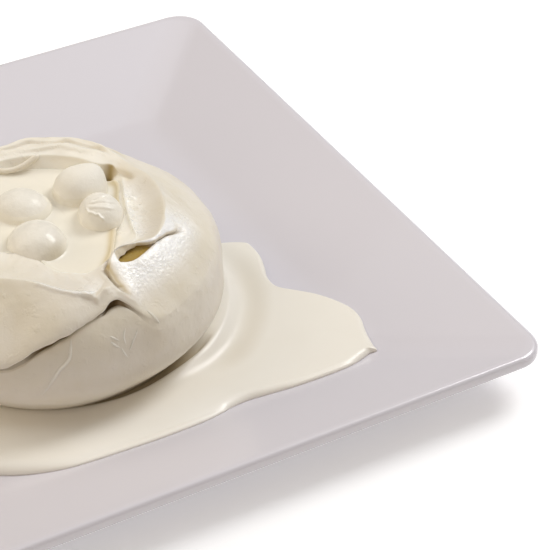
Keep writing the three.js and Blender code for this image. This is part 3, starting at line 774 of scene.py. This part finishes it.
# Tube: a circle carried along a curve, square to its heading, its radius given along it
def tube(middle, radius, around):
    heading = np.gradient(middle, axis=0)
    side = np.cross(heading, (0, 0, 1))
    side /= np.linalg.norm(side, axis=1)[:, None]
    up = np.cross(side, heading)
    up /= np.linalg.norm(up, axis=1)[:, None]
    turn = np.linspace(0, 2 * np.pi, around, endpoint=False)[None, :, None]
    circle = side[:, None] * np.cos(turn) + up[:, None] * np.sin(turn)
    return middle[:, None] + radius[:, None, None] * circle


# Fine lines: tubes half sunk into the skin, at the radius the skin has at each angle and height
def buildSkinLines(material, angle, skinGrid, along=60, around=12):
    u = np.linspace(0, 1, along)
    reach = np.hypot(skinGrid[..., 0], skinGrid[..., 1])
    height = np.maximum.accumulate(skinGrid[..., 2], 0)
    for name, (path, width) in skinLines.items():
        turn, z = throughPoints(path, u).T
        column = np.searchsorted(angle, turn)
        above = (height[:, column] < z).sum(0)  # first row higher than the path
        low, high = height[above - 1, column], height[above, column]
        share = (z - low) / np.maximum(high - low, 1e-6)
        r = reach[above - 1, column] * (1 - share) + reach[above, column] * share
        r = np.convolve(np.pad(r, 4, "edge"), np.ones(9) / 9, "valid") - 0.3 * width
        thin = width * np.sin(np.pi * np.clip(u, 0.001, 0.999)) ** 0.6
        grid = tube(polar(r, turn, z), thin, around)
        # a little painted highlight and gloss along each line
        satinAndHighlight = np.full(grid.shape[:2], 0.2)
        mesh = closedMesh("skin" + name[0].upper() + name[1:], toPlate(grid), {"satinAndHighlight": satinAndHighlight})
        place(mesh.name, mesh, "pouch", material)


strand = {
    "radius": 0.95,
    "path": [(-5.2, 29.6, 51.0), (-6.5, 28.9, 50.4), (-8.5, 27.8, 49.4), (-11, 26.6, 48.5), (-14, 25.9, 47.7),
             (-17.5, 25.8, 47.4), (-20.5, 26.4, 47.6), (-22.6, 27.2, 48.4)]}


# Strand of skin: a tube along a curve, thinning out at both ends
def buildStrand(material, along=90, around=28):
    u = np.linspace(0, 1, along)
    radius = strand["radius"] * np.sqrt(np.clip(1 - (2 * u - 1) ** 8, 0, 1)) * (1 + 0.12 * np.sin(9 * u))
    mesh = closedMesh("skinStrand", toPlate(tube(throughPoints(strand["path"], u), radius, around)))
    place("skinStrand", mesh, "pouch", material)


pearlPlaces = {  # middle, half sizes, degrees turned
    "pearl_1": ((-2.3, -13.0, 45.4), (9.6, 10.4, 7.6), 23),
    "pearl_2": ((-8.8, 5.9, 45.2), (9.6, 8.8, 7.4), -14),
    "pearl_3": ((9.0, 15.0, 47.2), (8.8, 8.6, 8), 30),
    "pearl_4": ((16.4, 1.4, 47.2), (7.0, 8.2, 6.8), 20),
    "pearl_5": ((-22.4, -13.6, 45.6), (7.6, 7.6, 6.6), 0),
    "pearl_6": ((-26, 7, 45.4), (7.2, 7.4, 6.4), 40)}


# Unevenness of a pearl in each direction from its middle
def pearlSwell(node, unit):
    seed = int(node[-1])
    return 1 + swells(unit * 10, [(0.022, 12, 40 + seed), (0.006, 4.5, 50 + seed)])


# blunt corner of the squarest pearl: direction from its middle, height, width
pearlCorners = {"pearl_3": ((0.65, 0.03, 0.76), 1.7, 0.5)}
# painted amber shade on the first pearl's lower side: direction from its middle, share, width
pearlShading = {"pearl_1": ((0.32, -0.86, 0.38), 0.62, 0.5)}
# lines on the torn pearl: path of directions from its middle, height (below 0 a groove), width
pearlLines = {
    "rim": ([(-0.4, 0.02, 0.91), (-0.22, -0.01, 0.98), (0.03, 0.03, 1.0), (0.33, 0.12, 0.94),
             (0.6, 0.2, 0.78)], -0.4, 0.4),
    "bandOne": ([(-0.71, 0.07, 0.7), (-0.37, -0.17, 0.91), (0.06, -0.28, 0.96), (0.41, -0.33, 0.85),
                 (0.76, -0.21, 0.61)], -0.3, 0.45),
    "bandTwo": ([(-0.78, -0.03, 0.63), (-0.46, -0.29, 0.84), (-0.06, -0.47, 0.88), (0.28, -0.55, 0.78),
                 (0.67, -0.48, 0.57)], 0.3, 0.5),
    "crest": ([(-0.72, -0.1, 0.68), (-0.66, -0.24, 0.7), (-0.64, -0.4, 0.66), (-0.5, -0.52, 0.69),
               (-0.42, -0.63, 0.66), (-0.3, -0.66, 0.69), (-0.25, -0.76, 0.6), (-0.19, -0.8, 0.56),
               (-0.1, -0.9, 0.42)], 0.7, 0.32)}


# Spot on a pearl: a Gaussian of the distance between directions from its middle
def spot(unit, towards, size, width):
    return size * np.exp(-((unit - towards) ** 2).sum(-1) / width ** 2)


# Pearl: an ellipsoid with a slow unevenness, and thin folds on the torn one
def buildPearl(node, material, columns=128, rows=96):
    middle, half, turn = pearlPlaces[node]
    rise = np.linspace(-np.pi / 2, np.pi / 2, rows)[:, None]
    around = np.linspace(0, 2 * np.pi, columns, endpoint=False)[None, :]
    flatCos = np.cos(rise)
    unit = np.stack([flatCos * np.cos(around), flatCos * np.sin(around), np.sin(rise) + 0 * around], -1)
    body = unit * pearlSwell(node, unit)[..., None] * half
    if node in pearlCorners:
        body = body + unit * spot(unit, *pearlCorners[node])[..., None]
    if node == "pearl_4":
        for path, height, width in pearlLines.values():
            body = body + unit * ridgeAlong(body, np.array(path) * half, height, width)[..., None]
    plain = np.zeros((rows, columns))
    # painted shade on the lower side of the first pearl
    shadeSpot = spot(unit, *pearlShading[node]) if node in pearlShading else plain
    marks = {"dull": plain + pearlLook["dull"].get(node, 0.0), "amber": shadeSpot}
    mesh = closedMesh(node, toPlate(turned(body, turn, middle)), marks)
    place(node.replace("_", ""), mesh, node, material)


creamFill = {
    "climb": 0.8, "reach": 1.6, "blend": 2.6, "overlap": 1.2,
    "pit": (18.2, 25.2, 7.0, 2.0), "drop": (17.9, 19.7, 1.8),  # place, depth and width; place and width
    "wheyBeside": (-56, -46, 44, 54),  # angles where whey gathers beside the right petal
    # how high cream covers each pearl
    "film": {"pearl_1": 0.9, "pearl_2": 4.0, "pearl_3": 5.0, "pearl_4": 0.7, "pearl_5": 3.0, "pearl_6": 3.0}}


# Cream over and round the pearls: it climbs to each, blends into its surface and thins out as it goes up
def clinging(x, y, level):
    height, creamLevel = level, cheese["creamLevel"]
    for node, ((px, py, pz), (halfX, halfY, halfZ), turn) in pearlPlaces.items():
        c, s = np.cos(np.radians(turn)), np.sin(np.radians(turn))
        qx, qy = (c * (x - px) + s * (y - py)) / halfX, (c * (y - py) - s * (x - px)) / halfY
        share = np.hypot(qx, qy)
        up = np.sqrt(np.clip(1 - share ** 2, 0, 1))
        swell = pearlSwell(node, np.stack([qx, qy, up], -1) / np.maximum(share, 1)[..., None])
        pearlTop = pz + halfZ * swell * np.sqrt(np.clip(1 - (share / swell) ** 2, 0, 1))
        line = np.sqrt(np.clip(1 - ((creamLevel - pz) / halfZ) ** 2, 0, 1))
        away = (share - line) * (halfX + halfY) / 2
        climb = level + creamFill["climb"] * np.exp(-np.maximum(away, 0) / creamFill["reach"])
        cover = creamFill["film"][node]
        sunk = smooth(pearlTop - creamLevel, 0.3 * cover, 1.7 * cover)
        film = np.where(share < swell, pearlTop + 0.2 - sunk, 0)
        soft = min(creamFill["blend"], cover)
        near = np.clip(0.5 + 0.5 * (film - climb) / soft, 0, 1)
        height = np.maximum(height, climb + (film - climb) * near + soft * near * (1 - near))
    return height


# Cream: a level disc out to the skin that clings to the pearls, closed by a bowl below
def buildFilling(material, columns=460):
    angle, creamLevel = anglesRound(columns), cheese["creamLevel"]
    rings = pouchRings(angle)[1]
    wall, (slopeR, slopeZ) = rings[-5, :, 0], (rings[-6] - rings[-5]).T
    # how far it climbs at the skin, so that no step is left where it ends
    atSkin = np.clip(0.1 + 1.2 * slopeZ / np.maximum(slopeR, 0.1), 0.05, creamFill["climb"])
    radius = np.linspace(0, 1, 190)[:, None] * (wall + creamFill["overlap"])
    top = polar(radius, angle, 0 * radius)
    x, y = top[..., 0], top[..., 1]
    gone = wall - radius  # how far it is to the skin
    level = creamLevel + 0.2 * rolling(top, 22, 8)
    level = level + atSkin * np.exp(-np.maximum(gone, 0) / creamFill["reach"])
    (pitX, pitY, pitDepth, pitWidth), (dropX, dropY, dropWidth) = creamFill["pit"], creamFill["drop"]
    pit = np.exp(-((x - pitX) ** 2 + (y - pitY) ** 2) / pitWidth ** 2)
    drop = np.exp(-((x - dropX) ** 2 + (y - dropY) ** 2) / dropWidth ** 2)
    beside = window(angle, *creamFill["wheyBeside"])
    # whey beside the right petal and in a drop; in the pit the whey colour is painted shade
    wheyAndShade = np.clip(0.9 * bell(gone, 0.2, 1.4) * beside + 1.2 * pit + 0.5 * drop, 0, 1)
    top = np.stack([x, y, clinging(x, y, level) - pitDepth * pit], -1)
    bowl = np.linspace(0, 1, 12)[:-1, None]
    depth = (creamLevel - cheese["floor"] - 0.5) * np.sqrt(1 - bowl ** 2.5)
    below = np.stack([bowl * 0.97 * x[-1], bowl * 0.97 * y[-1], creamLevel - 1 - depth + 0 * x[-1]], -1)
    marks = {"wheyAndShade": np.concatenate([np.zeros(below.shape[:2]), wheyAndShade[::-1]])}
    mesh = closedMesh("creamInHollow", toPlate(np.concatenate([below, top[::-1]])), marks)
    place("creamInHollow", mesh, "cream_filling", material)


pool = {
    "depth": 3.6, "inner": 44, "hollow": 0.9,
    "front": (-98, -70, -28, -10),  # angles where the crevice at the cheese gets a painted shadow
    "outline": [
        (-62, -4), (-70, -24), (-68, -48), (-58, -70), (-34, -82), (-6, -85.5), (14, -85.5), (23, -84),
        (27, -82.6), (34, -82), (42, -83.1), (51, -84.3), (61.5, -84.6), (69, -84), (75, -82.2),
        (78.4, -81.2), (80.6, -81.7), (81.0, -79), (82.6, -72), (84.5, -65.3), (84.5, -59.8), (83, -54.7),
        (79.2, -48.2), (74.5, -43), (70.8, -39), (69.4, -35.4), (69.7, -30.2), (71.4, -25.4), (73.1, -20),
        (73.6, -15), (73.2, -10), (71.7, -5.7), (70, -1.7), (67, 3), (60, 8)],
    # angle round the cheese, radius and height of the lip beside it, width of the bead at the outer edge
    "lip": [
        (-180, 47, 0, 4), (-75, 46.6, 0.3, 4.5), (-60, 47.4, 0.6, 4.5), (-50, 47.8, 0.9, 4),
        (-38, 48.4, 1.2, 4), (-30, 49.5, 1.5, 3.6), (-20, 51.9, 2.1, 3.4), (-11, 53.6, 2.6, 3.0),
        (0, 55.2, 2.7, 2.2), (13, 57.2, 2.6, 2.0), (30, 58, 2.0, 2.2), (50, 58, 1.4, 3),
        (70, 52, 0.4, 3.5)]}


# Pool: along its outline, a loop out over the plate, up round the bead, over the lip and in under the cheese
def buildPool(material, along=460, across=116):
    u = np.linspace(0, 1, along)
    outer = throughPoints(pool["outline"], u)
    centre = np.array(cheese["centre"], float)
    reach = np.linalg.norm(outer - centre, axis=1)[:, None]
    heading = (outer - centre) / reach
    angle = (np.degrees(np.arctan2(heading[:, 1:], heading[:, :1])) - cheese["turn"] + 180) % 360 - 180
    lipRadius, lipHeight, bead = roundRim(angle, pool["lip"], 8)
    taper = np.sqrt(np.minimum(1, np.minimum(8 * u, 8 * (1 - u))))[:, None]
    inner = pool["inner"]
    far = inner + 4 + (reach - inner - 4) * taper
    scale = np.linspace(0, 1, 200)
    back = packed(across, 1 + 8 * bell(scale, 0, 0.08) + 2 * bell(scale, 0.8, 0.2), False)
    out = np.linspace(0, 1, 14)[:-1]
    radius = np.concatenate([inner + (far - inner) * out, far - (far - inner) * back], 1)
    upper = np.concatenate([np.zeros(len(out)), np.ones(across)])[None, :]
    edge = np.clip((far - radius) / bead, 0, 1)
    rise = upper * (1 - (1 - edge) ** 2.2) ** (1 / 2.2)
    x = centre[0] + heading[:, :1] * radius
    y = centre[1] + heading[:, 1:] * radius
    base = plateTop(squareThrough(x, y))
    beyond = radius - lipRadius
    dip = 1.8 * (1 - smooth(angle, -26, -8))  # the lip stands off the cheese in front only
    outside = 1.1 * bell(beyond, 0, 3.0) - 0.1
    lip = lipHeight * np.where(beyond > 0, outside, 1 - dip * (1 - bell(beyond, 0, 1.5)))
    hollow = pool["hollow"] * bell(beyond, 6.5, 5.0) * smooth(lipHeight, 0.5, 2)
    level = plateSize["wellTop"] + (pool["depth"] + lip * bell(beyond, 0, 14) - hollow) * taper
    level = level + 0.12 * rolling(np.stack([x, y, 0 * x], -1), 24, 71) * taper
    level = np.maximum(level, base + 0.5 * pool["depth"] * taper)
    # painted shadow in the crevice at the cheese in front, painted shade in the hollow beyond the lip and
    # darker out to the right
    crevice = smooth(-beyond, 0.2, 1.4) * window(angle, *pool["front"])
    trough = 0.3 * bell(beyond, 9, 6) * smooth(lipHeight, 1.5, 2.4)
    thin = 0.12 * smooth(beyond, 6, 18) * smooth(angle, -50, -20)
    wheyAndShade = np.clip(crevice + np.maximum(trough, thin), 0, 1) * upper
    mesh = closedMesh("creamOnPlate", np.stack([x, y, base + (level - base) * rise], -1), {"wheyAndShade": wheyAndShade})
    place("creamOnPlate", mesh, "cream_pool", material)


view = {"azimuth": -29.603, "elevation": 37.09, "distance": 737.96, "target": (73.53, -28.09, 4), "lens": 144}


# Camera on a sphere round its target, looking at it with the horizon level
def setCamera():
    a, e = np.radians(view["azimuth"]), np.radians(view["elevation"])
    back = np.array([np.sin(a) * np.cos(e), -np.cos(a) * np.cos(e), np.sin(e)])
    right = np.array([np.cos(a), np.sin(a), 0])
    up = np.cross(back, right)
    eye = (np.array(view["target"]) + back * view["distance"]) * mm
    data = bpy.data.cameras.new("camera")
    data.lens = view["lens"]
    data.sensor_width = 36
    data.clip_start = 0.01
    camera = addObject("camera", data)
    camera.matrix_world = Matrix((
        (right[0], up[0], back[0], eye[0]), (right[1], up[1], back[1], eye[1]),
        (right[2], up[2], back[2], eye[2]), (0, 0, 0, 1)))
    bpy.context.scene.camera = camera


# each lamp: to the right, away and up from the middle, how far off, width, power, colour
studio = {
    "lamps": {
        "key": (0.57, 0.36, 0.74, 1.0, 0.44, 5.2, (0.975, 0.975, 0.98)),
        "above": (0.0, 0.15, 1.0, 1.2, 1.6, 4.8, (0.90, 0.95, 1.0)),
        "left": (-0.8, 0.1, 0.6, 1.2, 0.9, 4.4, (1.0, 0.89, 0.72)),
        "front": (-0.3, -0.8, 0.6, 1.2, 0.9, 2.3, (1.0, 0.85, 0.68))},
    "fill": 0.2, "fillColour": (1.0, 0.905, 0.82, 1), "floorHalf": 3.0, "floorGlow": 0.2}


# Soft studio: round lamps that face the middle of the plate, an even pale surround and a pale floor
def setStudio():
    a = np.radians(view["azimuth"])
    right = np.array([np.cos(a), np.sin(a), 0])
    away = np.array([-np.sin(a), np.cos(a), 0])
    for name, (toRight, toBack, toTop, distance, width, power, colour) in studio["lamps"].items():
        heading = right * toRight + away * toBack + np.array([0, 0, toTop])
        heading /= np.linalg.norm(heading)
        light = bpy.data.lights.new(name, "AREA")
        light.shape = "DISK"
        light.size = width
        light.energy = power
        light.color = colour
        side = np.cross(away, heading)
        side /= np.linalg.norm(side)
        turn = np.stack([side, np.cross(heading, side), heading, heading * distance], -1)
        addObject(name, light).matrix_world = Matrix([*turn.tolist(), (0, 0, 0, 1)])
    world = bpy.data.worlds.new("surround")
    world.use_nodes = True
    world.node_tree.nodes["Background"].inputs["Color"].default_value = studio["fillColour"]
    world.node_tree.nodes["Background"].inputs["Strength"].default_value = studio["fill"]
    bpy.context.scene.world = world
    bpy.context.scene.view_settings.view_transform = "Standard"
    size = studio["floorHalf"]
    mesh = bpy.data.meshes.new("floor")
    corners = [(-size, -size, 0), (size, -size, 0), (size, size, 0), (-size, size, 0)]
    mesh.from_pydata(corners, [], [(0, 1, 2, 3)])
    mesh.materials.append(startMaterial("floorPaper", {
        "Roughness": 0.9, "Emission Strength": studio["floorGlow"], "Base Color": (0.92, 0.92, 0.92, 1),
        "Emission Color": (1, 1, 1, 1)})[0])
    addObject("floor", mesh)


setCamera()
setStudio()
skin, pearly, glaze = cheeseSkin(), cheesePearl(), porcelain()
filling, spilt = cream("cream", creamLook), cream("creamPool", poolLook)
print("materials made")
buildPlate(glaze)
buildSkinLines(skin, *buildPouch(skin))
buildStrand(skin)
buildFilling(filling)
for node in pearlPlaces:
    buildPearl(node, pearly)
buildPool(spilt)
print("pieces placed")
